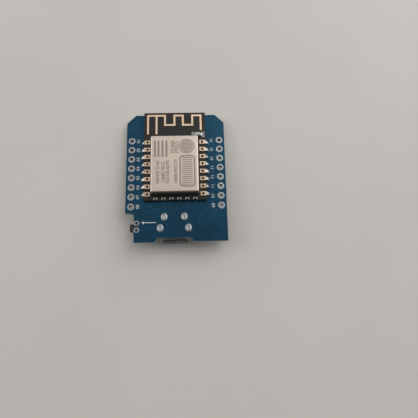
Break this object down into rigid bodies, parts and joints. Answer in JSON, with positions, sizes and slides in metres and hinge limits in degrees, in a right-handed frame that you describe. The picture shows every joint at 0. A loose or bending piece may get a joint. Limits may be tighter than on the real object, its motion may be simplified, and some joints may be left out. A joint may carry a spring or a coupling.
{
  "type": "microcontroller dev board",
  "caption": "Small blue radio microcontroller board with a shielded module, two header hole rows, a plug socket and a side-press reset button.",
  "frame": {"origin": "centre of the two header hole rows, on the carrier board's underside", "axes": "+X to the right seen from the module's face with the antenna away, +Y to the antenna edge, +Z out of the face that carries the module"},
  "size_m": [0.0256, 0.0345, 0.0072],
  "materials": {
    "blue_solder_mask": "glass-epoxy board under a glossy blue solder mask",
    "black_solder_mask": "glass-epoxy board under a black solder mask",
    "tinned_copper": "copper with a dull tin finish",
    "solder": "bright tin solder",
    "gold_plating": "thin gold over nickel on copper",
    "nickel_silver_can": "satin nickel-silver sheet",
    "nickel_steel": "nickel-plated steel sheet",
    "nickel_lid": "nickel-plated lid, satin",
    "spring_steel": "thin stainless spring sheet",
    "black_moulding": "black epoxy moulding compound, fine matt grain",
    "black_insulator": "black moulded insulator",
    "button_plastic": "black moulded button",
    "dark_ceramic": "dark fired ceramic",
    "tan_ceramic": "tan fired ceramic",
    "resistor_glaze": "ceramic chip under a black glaze",
    "green_laminate": "green laminated fuse body",
    "white_laminate": "white laminate base",
    "clear_lens": "cloudy clear epoxy"
  },
  "bodies": {
    "board": {"carrier_board": "blue_solder_mask", "header_plating": "tinned_copper", "switch_peg_rings": "tinned_copper", "underside_solder": "solder", "module_board": "black_solder_mask", "module_castellations": "gold_plating", "module_solder": "solder", "antenna_trace": "gold_plating", "shield_can": "nickel_silver_can", "radio_chip": "black_moulding", "flash_chip": "black_moulding", "flash_leads": "tinned_copper", "module_crystal_base": "dark_ceramic", "module_crystal_lid": "nickel_lid", "module_chip_bodies": "tan_ceramic", "module_chip_terminals": "tinned_copper", "status_led_base": "white_laminate", "status_led_lens": "clear_lens", "status_led_terminals": "tinned_copper", "socket_shell": "nickel_steel", "socket_insulator": "black_insulator", "socket_contacts": "gold_plating", "socket_tab_solder": "solder", "switch_base": "black_insulator", "switch_cover": "nickel_steel", "switch_dome": "spring_steel", "switch_terminals": "tinned_copper", "serial_chip": "black_moulding", "serial_chip_leads": "tinned_copper", "clock_crystal_base": "dark_ceramic", "clock_crystal_lid": "nickel_lid", "regulator": "black_moulding", "regulator_leads": "tinned_copper", "transistor_bodies": "black_moulding", "transistor_leads": "tinned_copper", "fuse_body": "green_laminate", "fuse_terminals": "tinned_copper", "capacitor_bodies": "tan_ceramic", "capacitor_terminals": "tinned_copper", "resistor_bodies": "resistor_glaze", "resistor_terminals": "tinned_copper"},
    "reset_button": {"switch_plunger": "button_plastic"}
  },
  "joints": [
    {"name": "reset_press", "type": "slide", "parent": "board", "child": "reset_button", "axis": [1, 0, 0], "range_m": [0, 0.00025], "stiffness_N_per_m": 6400, "deforming": ["switch_dome"]}
  ]
}
